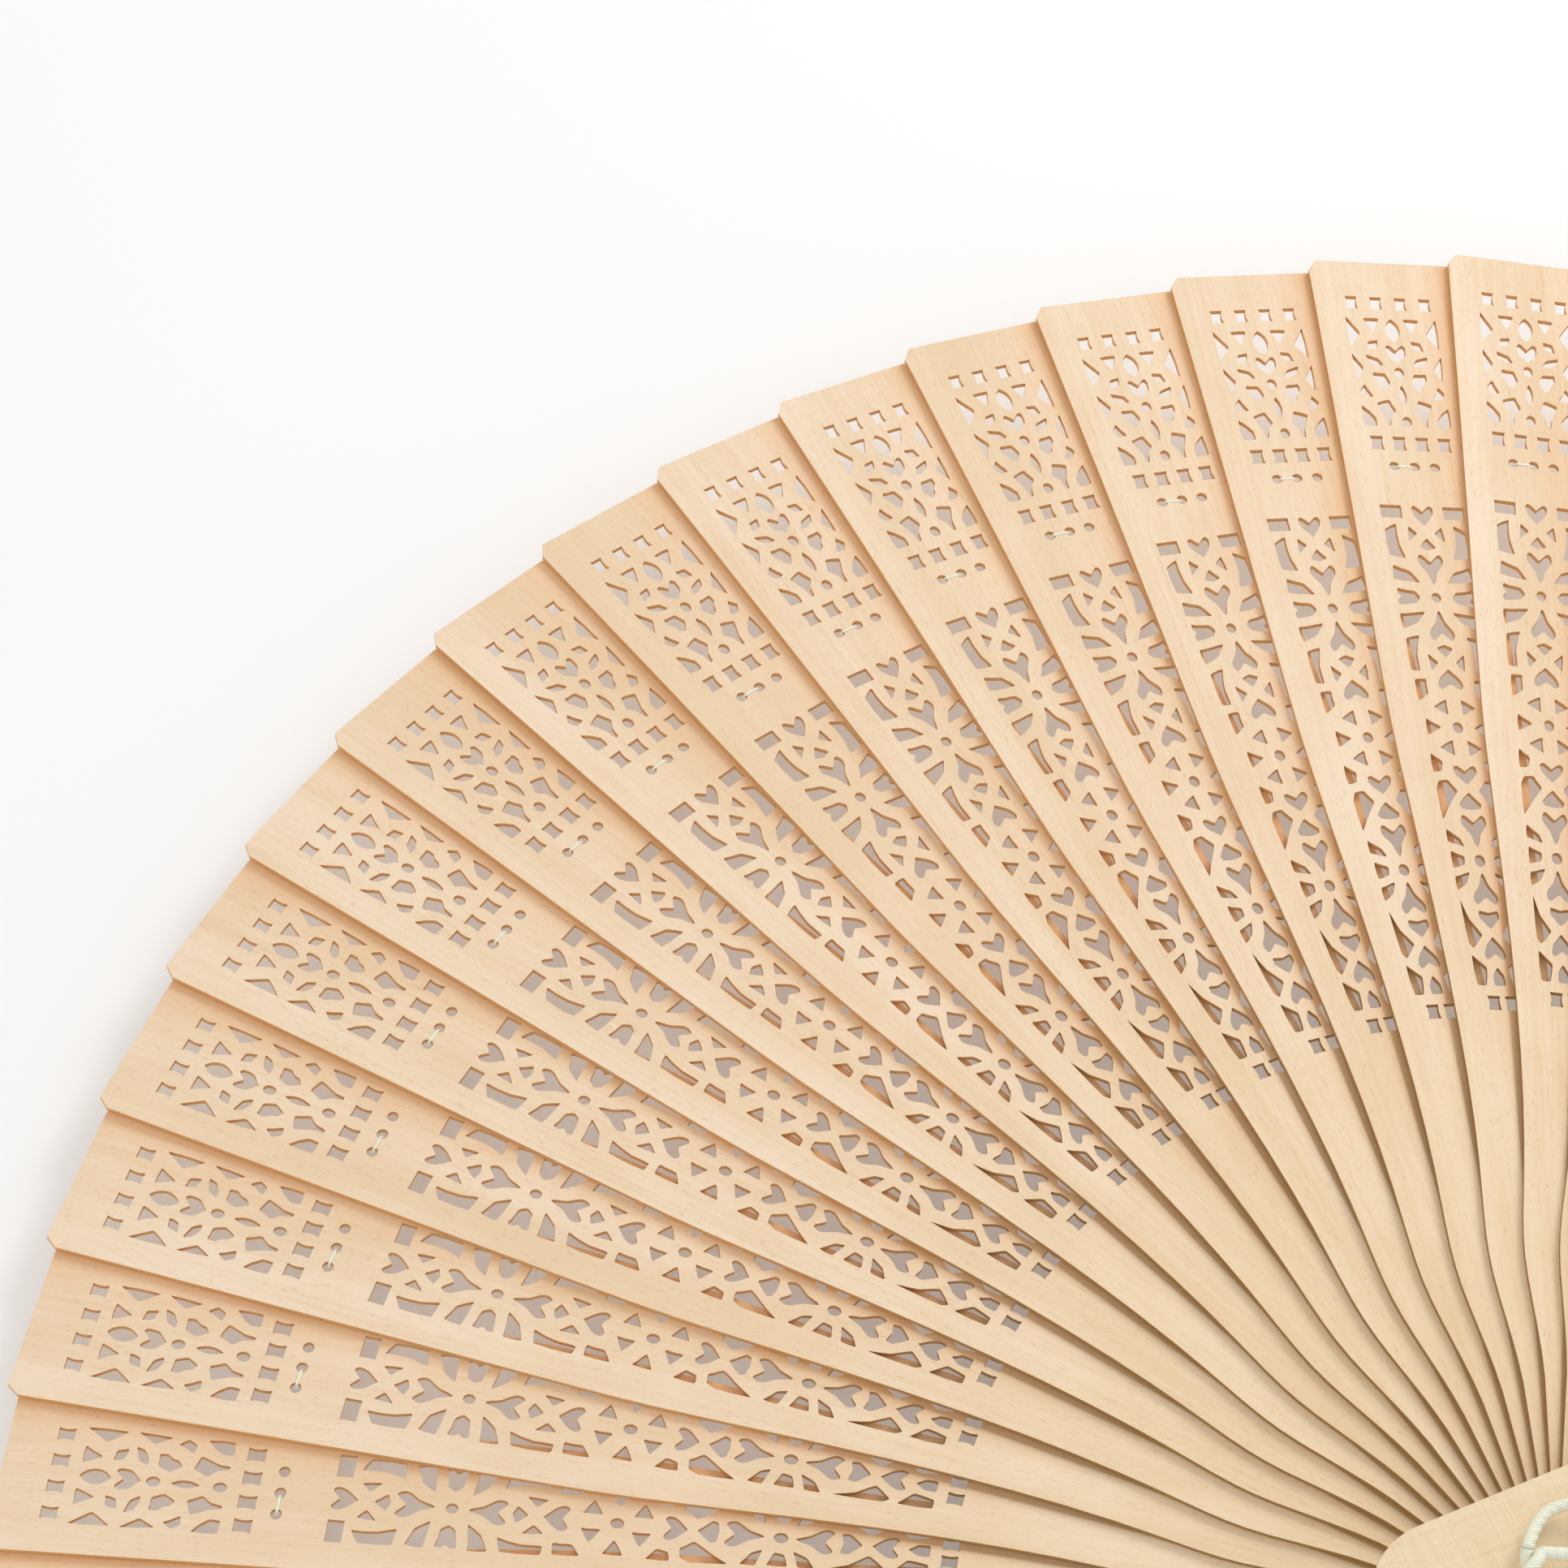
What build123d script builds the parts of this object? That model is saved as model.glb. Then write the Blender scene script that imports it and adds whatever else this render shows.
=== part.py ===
from build123d import *
import os
from math import cos, sin, radians, tan, sqrt, pi

# Sandalwood folding fan, lying open and flat. Millimetres.
# +Z is the rivet's axis and z = 0 is the underside of the back guard.
# The open fan is symmetric about +Y. Angles are counted from +X.

# ---- driving dimensions ----
tipReach = 171.5          # pivot to the leading corner of a stick's tip
rowSlant = 4.5            # degrees that the tip and the rows of holes slant across a stick
leafCount = 28            # pierced leaves between the two guards
stepAngle = 5.85          # angle between neighbouring sticks when open
leafThickness = 0.7
leafGap = 0.1             # play between stacked sticks
guardThickness = 2.0
tipHalfWidth = 9.15       # a leaf at its tip
guardHalfWidth = 9.15     # a guard over its whole length
tipChamfer = 1.0          # corner cut of a stick's tip
guardButtReach = 28.6     # pivot to the rounded end of a guard's tail
leafButtReach = 14.0      # pivot to the rounded end of a leaf's tail
gorgeHalfWidth = 4.6      # a leaf beside the pivot
shoulderHalfWidth = 6.2   # the swelling above the gorge
waistHalfWidth = 5.75     # the slight waist above the swelling
middleHalfWidth = 7.1     # a leaf half way up
gorgeEnd = 22.0           # stations of those widths from the pivot
shoulderReach = 37.0
waistReach = 47.0
middleReach = 94.3

tipMargin = 6.0           # plain wood between the tip and the first row of holes
patternReach = 165.5      # outer end of the first row, as the pattern is drawn below
threadReach = 140.7       # row of three thread holes, as drawn
threadSpacing = 2.45
threadHoleRadius = 0.62

rivetRadius = 1.4
turnClearance = 0.05      # radial play of a stick on the rivet
backHeadRadius = 2.9
backHeadHeight = 0.7
backWasherRadius = 3.6
backWasherThickness = 0.4
recessClearance = 0.1
frontWasherRadius = 3.8
frontWasherThickness = 0.4
frontHeadRadius = 2.6
frontHeadHeight = 0.9
lugThickness = 1.2
lugHalfWidth = 2.0
eyeRise = 2.4             # eye centre above the front washer
eyeRadius = 1.0

cordRadius = 1.45
strandRadius = 0.72       # one strand of the doubled cord
loopRadius = 5.2          # the cord's loop through the rivet's eye
cordHeading = 177.0       # the way the cord leaves the rivet
knotRadius = 4.2
bindingRadius = 3.3
bindingLength = 5.0
skirtLength = 42.0
skirtHalfWidth = 6.6
skirtHalfHeight = 4.0
joinOverlap = 0.4         # how far pieces of the tassel enter each other

# ---- places that follow from them ----
openAngle = stepAngle * (leafCount + 1)
backAngle = 90 + openAngle / 2
leafPitch = leafThickness + leafGap
firstLeafZ = guardThickness + leafGap
frontGuardZ = firstLeafZ + leafCount * leafPitch
washerZ = frontGuardZ + guardThickness + leafGap
headZ = washerZ + frontWasherThickness
eyeZ = headZ + eyeRise
turnRadius = rivetRadius + turnClearance
recessDepth = backHeadHeight + backWasherThickness

# The cord's route, from the loop over the guard's tail and down to what the fan lies on.
# It stays above the front guard as far out as the guard's tail sweeps.
cordRoute = [
    (-10.3, 0.5, 28.9), (-13.6, -4.6, 28.5), (-18.0, -12.0, 28.5), (-25.5, -22.5, 28.4),
    (-29.0, -28.5, 15.0), (-32.5, -34.0, 3.2), (-42.0, -40.0, 1.7), (-56.0, -42.5, 1.9),
    (-70.0, -41.0, 4.6),
]


# ---- hole outlines, in a stick's own frame: x away from the pivot, y across ----

def straightHole(corners):
    """A hole with straight sides."""
    return Face(Wire(Polyline(*corners, close=True).edges()))


def softHole(corners, rounding=0.28):
    """A hole whose corners the saw left rounded: one closed curve near its corners."""
    points = []
    for i, corner in enumerate(corners):
        here = Vector(*corner)
        before = Vector(*corners[i - 1]) - here
        after = Vector(*corners[(i + 1) % len(corners)]) - here
        reach = min(rounding, before.length / 3, after.length / 3)
        inner = here + (before.normalized() + after.normalized()) * reach * 0.22
        points += [here + before.normalized() * reach, inner, here + after.normalized() * reach]
    return Face(Wire([Spline(*points, periodic=True)]))


def ovalHole(x, halfLength, halfWidth, y=0.0):
    return Pos(x, y) * Ellipse(halfLength, halfWidth).face()


def eyeHole(x0, x1, halfWidth):
    """A pointed oval on the stick's axis."""
    middle = (x0 + x1) / 2
    upper = ThreePointArc((x0, 0), (middle, halfWidth), (x1, 0))
    lower = ThreePointArc((x1, 0), (middle, -halfWidth), (x0, 0))
    return Face(Wire([upper, lower]))


def heartHole(lobeX, notchX, tipX, halfWidth, fullness=0.42):
    """A heart on the stick's axis, from the ends of its lobes to its point."""
    length = tipX - lobeX
    side = [
        (notchX, 0), (lobeX + 0.06 * length, 0.48 * halfWidth), (lobeX, 0.76 * halfWidth),
        (lobeX + 0.10 * length, 0.97 * halfWidth), (lobeX + 0.24 * length, halfWidth),
        (lobeX + 0.60 * length, fullness * halfWidth), (tipX - 0.06 * length, 0.10 * halfWidth),
        (tipX, 0),
    ]
    mirrored = [(x, -y) for x, y in side]
    return Face(Wire([Spline(*side), Spline(*mirrored)]))


def notchedSquare(x, y, halfLength, halfWidth, notch=0.16):
    """A small square with its two long sides bowed in."""
    x0, x1, y0, y1 = x - halfLength, x + halfLength, y - halfWidth, y + halfWidth
    sides = [
        Line((x0, y0), (x0, y1)), ThreePointArc((x0, y1), (x, y1 - notch), (x1, y1)),
        Line((x1, y1), (x1, y0)), ThreePointArc((x1, y0), (x, y0 + notch), (x0, y0)),
    ]
    return Face(Wire(sides))


def bothSides(holes):
    """The holes and their mirror images across the stick's axis."""
    return holes + [hole.mirror(Plane.XZ) for hole in holes]


def tipPanelHoles():
    """Two rows of squares with a leafy panel between them."""
    side = [
        notchedSquare(164.6, 1.51, 0.9, 0.74), notchedSquare(164.6, 4.53, 0.9, 0.74),
        softHole([(162.5, 5.55), (158.0, 5.45), (160.1, 4.0)]),
        softHole([(157.0, 5.5), (153.2, 5.2), (155.0, 4.25)]),
        softHole([(152.5, 4.5), (151.5, 5.2), (150.5, 4.6), (150.7, 3.6)]),
        softHole([(149.4, 5.3), (146.5, 5.3), (146.4, 3.75), (147.6, 3.7), (148.6, 4.4)]),
        softHole([(162.3, 3.45), (162.35, 1.45), (160.2, 2.35)]),
        softHole([(159.1, 2.0), (157.9, 2.3), (157.6, 3.5), (158.9, 3.2)]),
        softHole([(155.4, 1.75), (156.4, 2.3), (156.9, 3.85), (155.9, 3.5), (155.3, 2.5)]),
        softHole([(154.3, 3.25), (153.4, 3.3), (152.8, 2.8), (152.1, 2.65), (151.6, 2.0),
                  (152.9, 1.25), (154.2, 1.75)]),
        softHole([(150.4, 1.8), (149.8, 3.4), (147.8, 2.6), (146.5, 2.45), (146.6, 2.05),
                  (147.8, 1.85), (148.8, 1.1)]),
        notchedSquare(144.0, 1.39, 0.98, 0.8), notchedSquare(144.0, 4.1, 0.98, 0.8),
    ]
    centre = [
        eyeHole(162.3, 158.9, 0.9), heartHole(158.4, 157.6, 155.7, 1.2, 0.85),
        ovalHole(154.4, 0.75, 0.58), eyeHole(152.5, 149.4, 0.45), ovalHole(147.2, 0.75, 0.58),
    ]
    return bothSides(side) + centre


def threadHoles():
    """Three round holes that the linking thread passes through."""
    return [ovalHole(threadReach, threadHoleRadius, threadHoleRadius, y)
            for y in (-threadSpacing, 0, threadSpacing)]


def flowerPanelHoles():
    """The large flower between its two pairs of hearts."""
    side = [
        straightHole([(135.1, 2.5), (135.1, 5.05), (133.3, 5.05), (133.3, 2.5)]),
        softHole([(132.5, 3.45), (131.6, 4.9), (127.9, 4.8), (127.6, 2.85), (129.6, 3.4)]),
        softHole([(132.2, 2.0), (130.0, 2.2), (131.2, 1.0)]),
        softHole([(126.6, 4.6), (124.6, 4.8), (124.2, 1.6), (125.8, 2.6)]),
        softHole([(123.4, 4.5), (122.7, 4.6), (122.2, 4.15), (121.7, 4.6), (121.0, 4.5),
                  (121.4, 2.4), (122.2, 1.9), (123.0, 2.4)]),
        softHole([(119.8, 4.7), (117.7, 4.55), (118.6, 2.7), (120.2, 1.6)]),
        softHole([(114.4, 2.15), (112.0, 1.95), (113.2, 1.0)]),
        softHole([(116.9, 2.8), (116.4, 4.45), (112.0, 4.4), (111.9, 3.35), (114.2, 3.4)]),
        softHole([(110.9, 2.85), (110.8, 4.2), (107.8, 4.1), (108.8, 2.85)]),
    ]
    centre = [
        heartHole(135.1, 134.3, 132.3, 1.3, 0.7), heartHole(128.2, 127.2, 124.0, 1.5),
        ovalHole(122.2, 0.68, 0.58), heartHole(116.3, 117.2, 120.4, 1.45),
        softHole([(130.6, 0), (129.2, 1.0), (128.8, 0), (129.2, -1.0)]),
        softHole([(115.7, 0), (115.2, 1.0), (113.9, 0), (115.2, -1.0)]),
        heartHole(109.6, 110.2, 112.3, 1.45, 0.7),
    ]
    return bothSides(side) + centre


def sixPetalHoles(centreX, half, near, far):
    """Six small petals round a dot: half is the spacing along the stick."""
    inner = [
        softHole([(centreX + half + 1.1, near), (centreX + half, far), (centreX + half - 1.1, near)]),
        softHole([(centreX - half + 1.1, near), (centreX - half, far), (centreX - half - 1.1, near)]),
        softHole([(centreX + 1.15, 3.65), (centreX - 1.15, 3.65), (centreX, 1.9)]),
    ]
    return bothSides(inner) + [ovalHole(centreX, 0.75, 0.6)]


def lowerPanelHoles():
    """The two small flowers, the hearts between them and the last squares."""
    side = [
        softHole([(100.8, 3.75), (98.2, 3.75), (98.4, 2.75), (99.7, 2.45)]),
        softHole([(97.3, 2.2), (97.1, 3.3), (96.0, 3.7), (91.9, 3.5), (93.6, 2.6), (95.8, 1.25)]),
        softHole([(90.7, 3.35), (89.0, 3.4), (88.4, 1.5), (89.5, 1.9)]),
        softHole([(87.8, 3.25), (85.5, 3.2), (86.0, 1.85), (87.1, 1.7)]),
        softHole([(84.4, 3.2), (82.6, 3.15), (83.5, 2.0), (85.1, 1.4)]),
        softHole([(81.4, 3.05), (75.8, 2.85), (75.1, 2.4), (76.9, 1.1), (78.9, 2.35)]),
        softHole([(74.3, 2.75), (70.4, 2.6), (70.4, 1.55), (72.7, 1.2)]),
        notchedSquare(68.2, 1.0, 0.9, 0.72, 0.12),
    ]
    centre = [
        heartHole(99.2, 98.5, 96.7, 1.35, 0.7), heartHole(92.6, 91.7, 88.4, 1.45),
        softHole([(95.7, 0), (94.1, 1.3), (93.5, 1.1), (93.3, 0), (93.5, -1.1), (94.1, -1.3)]),
        ovalHole(86.6, 0.78, 0.6), heartHole(80.9, 81.7, 85.0, 1.4),
        softHole([(79.8, 0), (80.1, 1.1), (79.2, 1.2), (77.7, 0), (79.2, -1.2), (80.1, -1.1)]),
        heartHole(73.8, 74.4, 76.7, 1.2, 0.7),
        softHole([(72.8, 0), (71.7, 0.65), (70.4, 0.65), (70.4, -0.65), (71.7, -0.65)]),
    ]
    return bothSides(side) + centre + sixPetalHoles(104.35, 2.75, 0.85, 2.5)


def pattern():
    """Every hole of a stick: its rows slanted, its first row at its margin from the tip."""
    drawn = tipPanelHoles() + threadHoles() + flowerPanelHoles() + lowerPanelHoles()
    outward = tipReach - tipMargin - patternReach
    laid = Matrix([[1, tan(radians(rowSlant)), 0, outward], [0, 1, 0, 0], [0, 0, 1, 0]])
    return [hole.transform_geometry(laid) for hole in drawn]


# ---- sticks ----

def tipEdges(halfWidth):
    """The slanted tip of a stick with its corners cut, and where its two sides end."""
    cornerY = halfWidth - tipChamfer
    leadX = sqrt(tipReach ** 2 - cornerY ** 2)
    trailX = leadX - 2 * cornerY * tan(radians(rowSlant))
    upper = Line((leadX - 1.3 * tipChamfer, halfWidth), (leadX, cornerY))
    across = Line(upper @ 1, (trailX, -cornerY))
    lower = Line(across @ 1, (trailX - 1.3 * tipChamfer, -halfWidth))
    return [upper, across, lower]


def leafOutline():
    """A leaf: narrow at the rivet, swelling above it, widening to the tip."""
    tip = tipEdges(tipHalfWidth)
    stations = [
        (gorgeEnd, gorgeHalfWidth + 0.1), (shoulderReach, shoulderHalfWidth),
        (waistReach, waistHalfWidth), (middleReach, middleHalfWidth),
    ]
    mirrored = [(x, -y) for x, y in stations]
    upper = Spline(*stations, tip[0] @ 0, tangents=[(1, 0.04), (1, 0.025)])
    lower = Spline(*mirrored, tip[-1] @ 1, tangents=[(1, -0.04), (1, -0.025)])
    buttX = gorgeHalfWidth - leafButtReach
    neck = [
        Line((buttX, gorgeHalfWidth), upper @ 0), Line((buttX, -gorgeHalfWidth), lower @ 0),
        ThreePointArc((buttX, gorgeHalfWidth), (-leafButtReach, 0), (buttX, -gorgeHalfWidth)),
    ]
    return Face(Wire([upper, lower] + tip + neck))


def guardOutline():
    """A guard: one width from its tip to its rounded butt."""
    tip = tipEdges(guardHalfWidth)
    buttX = guardHalfWidth - guardButtReach
    sides = [
        Line((buttX, guardHalfWidth), tip[0] @ 0), Line((buttX, -guardHalfWidth), tip[-1] @ 1),
        ThreePointArc((buttX, guardHalfWidth), (-guardButtReach, 0), (buttX, -guardHalfWidth)),
    ]
    return Face(Wire(sides + tip))


def stick(outline, thickness, boreRadius):
    """One pierced stick, flat on z = 0 along +X, with its hole for the rivet."""
    inner = [hole.outer_wire() for hole in pattern()]
    inner.append(Circle(boreRadius).face().outer_wire())
    pierced = Face(outline.outer_wire(), inner)
    return extrude(pierced, amount=thickness, dir=(0, 0, 1))


def laidStick(blank, index, z):
    """A stick turned to its place in the open fan: index counts from the back guard."""
    return Pos(0, 0, z) * Rot(0, 0, backAngle - stepAngle * index) * blank


def backGuard():
    guard = stick(guardOutline(), guardThickness, rivetRadius)
    recess = extrude(Circle(backWasherRadius + recessClearance).face(), amount=recessDepth)
    return laidStick(guard - recess, 0, 0)


# ---- rivet ----

def alongCord(distance, z):
    """A point out from the rivet along the cord's heading."""
    return (distance * cos(radians(cordHeading)), distance * sin(radians(cordHeading)), z)


def acrossCord():
    """The level direction square to the cord's heading."""
    return (-sin(radians(cordHeading)), cos(radians(cordHeading)), 0)


def rivet():
    """Shank, flush back head, front head and the eye that the cord's loop goes through."""
    shank = Pos(0, 0, headZ / 2) * Cylinder(rivetRadius, headZ)
    backHead = Pos(0, 0, backHeadHeight / 2) * Cylinder(backHeadRadius, backHeadHeight)
    frontHead = Pos(0, 0, headZ + frontHeadHeight / 2) * Cylinder(frontHeadRadius, frontHeadHeight)
    frontHead = fillet(frontHead.edges().sort_by(Axis.Z)[-1], frontHeadHeight / 2)
    eyeAcross = Plane(origin=(0, 0, eyeZ), x_dir=alongCord(1, 0), z_dir=acrossCord())
    lugTop = extrude(eyeAcross * Circle(lugHalfWidth).face(), amount=lugThickness / 2, both=True)
    lugFoot = Pos(0, 0, headZ + eyeRise / 2) * Rot(0, 0, cordHeading) * Box(
        2 * lugHalfWidth, lugThickness, eyeRise)
    eye = extrude(eyeAcross * Circle(eyeRadius).face(), amount=lugThickness, both=True)
    return shank + backHead + frontHead + lugFoot + lugTop - eye


def washer(outer, thickness, z):
    return Pos(0, 0, z + thickness / 2) * (
        Cylinder(outer, thickness) - Cylinder(rivetRadius, thickness))


# ---- cord and tassel ----

def cordLoop():
    """The doubled cord's loop, level through the rivet's eye."""
    return Pos(*alongCord(loopRadius, eyeZ)) * Torus(loopRadius, strandRadius)


def turnRadii(route):
    """For each corner of the route, the largest arc that its two runs allow."""
    radii = []
    for before, corner, after in zip(route, route[1:], route[2:]):
        first = Vector(*corner) - Vector(*before)
        second = Vector(*after) - Vector(*corner)
        halfTurn = radians(first.get_angle(second)) / 2
        radii.append(0.45 * min(first.length, second.length) / tan(halfTurn))
    return radii


def cord():
    """The plain tube of the twisted cord."""
    radii = turnRadii(cordRoute)
    print("cord turn radii:", [round(radius, 1) for radius in radii])
    path = FilletPolyline(*cordRoute, radius=radii)
    start = Plane(origin=path @ 0, z_dir=path % 0)
    tube = sweep(start * Circle(cordRadius).face(), path=path)
    section = pi * cordRadius ** 2
    print("cord length:", round(path.length, 1), "tube volume / section:",
          round(tube.volume / section, 1))
    return tube


def tasselPlane(distance):
    """A plane across the tassel, that far along it from the end of the cord."""
    end = Vector(*cordRoute[-1])
    run = end - Vector(*cordRoute[-2])
    along = Vector(run.X, run.Y, 0).normalized()
    return Plane(origin=end + along * distance, x_dir=(-along.Y, along.X, 0), z_dir=along)


def tasselKnot():
    return Pos(*tasselPlane(knotRadius - joinOverlap).origin) * Sphere(knotRadius)


def tasselBinding():
    start = tasselPlane(2 * (knotRadius - joinOverlap))
    return extrude(start * Circle(bindingRadius).face(), amount=bindingLength)


def tasselSkirt():
    """The hanging threads as one closed form, round at the binding and flattened at its end."""
    reach = 2 * (knotRadius - joinOverlap) + bindingLength
    sections = [
        tasselPlane(reach) * Ellipse(bindingRadius, bindingRadius * 0.98).face(),
        tasselPlane(reach + skirtLength / 3) * Ellipse(
            0.8 * skirtHalfWidth, 0.95 * skirtHalfHeight).face(),
        tasselPlane(reach + skirtLength) * Ellipse(skirtHalfWidth, skirtHalfHeight).face(),
    ]
    return loft(sections)


# ---- write one file for each piece ----

def save(piece, name):
    export_step(piece, "parts/" + name + ".step")


def main():
    os.makedirs("parts", exist_ok=True)
    save(backGuard(), "back_guard")
    leaf = stick(leafOutline(), leafThickness, turnRadius)
    for index in range(1, leafCount + 1):
        z = firstLeafZ + (index - 1) * leafPitch
        save(laidStick(leaf, index, z), "leaf_%02d" % index)
    guard = stick(guardOutline(), guardThickness, turnRadius)
    save(laidStick(guard, leafCount + 1, frontGuardZ), "front_guard")
    save(rivet(), "rivet")
    save(washer(backWasherRadius, backWasherThickness, backHeadHeight), "back_washer")
    save(washer(frontWasherRadius, frontWasherThickness, washerZ), "front_washer")
    save(cordLoop(), "cord_loop")
    save(cord(), "cord")
    save(tasselKnot(), "tassel_knot")
    save(tasselBinding(), "tassel_binding")
    save(tasselSkirt(), "tassel_skirt")


main()
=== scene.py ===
from math import cos, pi, radians, sin, tan

import bpy
from mathutils import Matrix, Quaternion, Vector


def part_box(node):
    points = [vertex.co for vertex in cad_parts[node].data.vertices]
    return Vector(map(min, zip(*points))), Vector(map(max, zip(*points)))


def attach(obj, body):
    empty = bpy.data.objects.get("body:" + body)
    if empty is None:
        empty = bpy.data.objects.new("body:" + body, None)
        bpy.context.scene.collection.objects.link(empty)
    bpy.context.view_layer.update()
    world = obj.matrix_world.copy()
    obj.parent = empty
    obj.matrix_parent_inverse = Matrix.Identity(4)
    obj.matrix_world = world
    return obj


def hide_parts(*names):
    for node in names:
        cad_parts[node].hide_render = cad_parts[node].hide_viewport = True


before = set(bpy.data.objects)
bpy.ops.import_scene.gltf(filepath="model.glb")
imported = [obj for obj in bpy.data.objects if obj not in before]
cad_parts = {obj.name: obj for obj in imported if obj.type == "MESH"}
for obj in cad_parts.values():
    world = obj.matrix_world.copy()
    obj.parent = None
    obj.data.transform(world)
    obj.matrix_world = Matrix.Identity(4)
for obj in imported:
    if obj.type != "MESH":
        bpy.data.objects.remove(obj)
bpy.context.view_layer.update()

scene = bpy.context.scene
mm = 0.001


# a node with its settings, and its inputs either joined to a socket or set
def addNode(tree, kind, inputs=None, **settings):
    made = tree.nodes.new(kind)
    for name, value in settings.items():
        setattr(made, name, value)
    for key, value in (inputs or {}).items():
        if isinstance(value, bpy.types.NodeSocket):
            tree.links.new(value, made.inputs[key])
        else:
            made.inputs[key].default_value = value
    return made


def sums(tree, operation, *values):
    made = addNode(tree, "ShaderNodeMath", dict(enumerate(values)), operation=operation)
    return made.outputs[0]


def vector(tree, x, y, z):
    made = addNode(tree, "ShaderNodeCombineXYZ", {"X": x, "Y": y, "Z": z})
    return made.outputs[0]


def mixColor(tree, factor, first, second, blend="MIX"):
    made = addNode(tree, "ShaderNodeMix", {0: factor, 6: first, 7: second},
                   data_type="RGBA", blend_type=blend)
    return made.outputs[2]


def rising(tree, value, low, high):
    made = addNode(tree, "ShaderNodeMapRange",
                   {"Value": value, "From Min": low, "From Max": high},
                   interpolation_type="SMOOTHSTEP")
    return made.outputs[0]


def noise(tree, place, detail=2.0, roughness=0.5):
    made = addNode(tree, "ShaderNodeTexNoise",
                   {"Vector": place, "Scale": 1.0, "Detail": detail, "Roughness": roughness})
    return made.outputs[0]


def newTree(name, kind, inputs, outputs):
    tree = bpy.data.node_groups.new(name, kind)
    for label, socketType, value in inputs:
        socket = tree.interface.new_socket(label, in_out="INPUT", socket_type=socketType)
        if value is not None:
            socket.default_value = value
    for label, socketType in outputs:
        tree.interface.new_socket(label, in_out="OUTPUT", socket_type=socketType)
    return tree, tree.nodes.new("NodeGroupInput").outputs, tree.nodes.new("NodeGroupOutput").inputs


def newMaterial(name):
    material = bpy.data.materials.new(name)
    material.use_nodes = True
    tree = material.node_tree
    return material, tree, tree.nodes["Principled BSDF"]


def scaled(tree, place, x, y, z):
    made = addNode(tree, "ShaderNodeVectorMath", {0: place, 1: (x, y, z)}, operation="MULTIPLY")
    return made.outputs[0]


cameraSetting = {
    "lens": 114.9,
    "place": (-0.1824, -0.1398, 0.5120),
    "aim": (-0.0531, 0.1139, 0.0200),
    "roll": 9.18,
}
lightSetting = {
    "key": {"place": (0.55, 0.45, 0.50), "size": 0.34, "power": 3.0},
    "fill": {"place": (-0.55, -0.25, 0.75), "size": 0.90, "power": 1.8},
    "sky": 0.68,
    "aim": (0, 0.08, 0),
}
tableSetting = {
    "half": 2.5,
    "darker": (0.74, 0.74, 0.74, 1),
    "lighter": (0.76, 0.76, 0.76, 1),
    "cloudScale": (3, 3, 3),
    "glowColor": (1.0, 0.98, 0.96, 1),
    "glow": 0.20,
}


def addCamera():
    data = bpy.data.cameras.new("camera")
    data.lens = cameraSetting["lens"]
    data.clip_start = 0.01
    data.clip_end = 20
    camera = bpy.data.objects.new("camera", data)
    scene.collection.objects.link(camera)
    camera.location = cameraSetting["place"]
    look = (Vector(cameraSetting["aim"]) - camera.location).to_track_quat("-Z", "Y")
    camera.rotation_mode = "QUATERNION"
    camera.rotation_quaternion = look @ Quaternion((0, 0, 1), radians(cameraSetting["roll"]))
    scene.camera = camera


def addLight(name, place, size, power):
    data = bpy.data.lights.new(name, "AREA")
    data.size = size
    data.energy = power
    light = bpy.data.objects.new(name, data)
    scene.collection.objects.link(light)
    light.location = place
    aim = Vector(lightSetting["aim"]) - light.location
    light.rotation_euler = aim.to_track_quat("-Z", "Y").to_euler()


# a pale table that is lit a little from within, so that the holes don't look into the dark
def addTable():
    data = bpy.data.meshes.new("tableTop")
    half = tableSetting["half"]
    data.from_pydata([(-half, -half, 0), (half, -half, 0), (half, half, 0), (-half, half, 0)],
                     [], [(0, 1, 2, 3)])
    table = bpy.data.objects.new("tableTop", data)
    scene.collection.objects.link(table)
    material, tree, shader = newMaterial("paleTable")
    place = addNode(tree, "ShaderNodeTexCoord").outputs["Object"]
    haze = noise(tree, scaled(tree, place, *tableSetting["cloudScale"]))
    shade = mixColor(tree, haze, tableSetting["darker"], tableSetting["lighter"])
    tree.links.new(shade, shader.inputs["Base Color"])
    shader.inputs["Emission Color"].default_value = tableSetting["glowColor"]
    shader.inputs["Emission Strength"].default_value = tableSetting["glow"]
    shader.inputs["Roughness"].default_value = 0.8
    shader.inputs["Specular IOR Level"].default_value = 0.1
    data.materials.append(material)


scene.view_settings.view_transform = "Standard"
world = bpy.data.worlds.new("softSky")
world.use_nodes = True
world.node_tree.nodes["Background"].inputs["Color"].default_value = (1.0, 0.995, 0.985, 1)
world.node_tree.nodes["Background"].inputs["Strength"].default_value = lightSetting["sky"]
scene.world = world
addCamera()
addLight("keyLight", **lightSetting["key"])
addLight("fillLight", **lightSetting["fill"])
addTable()
print("camera, lights and table")


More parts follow.
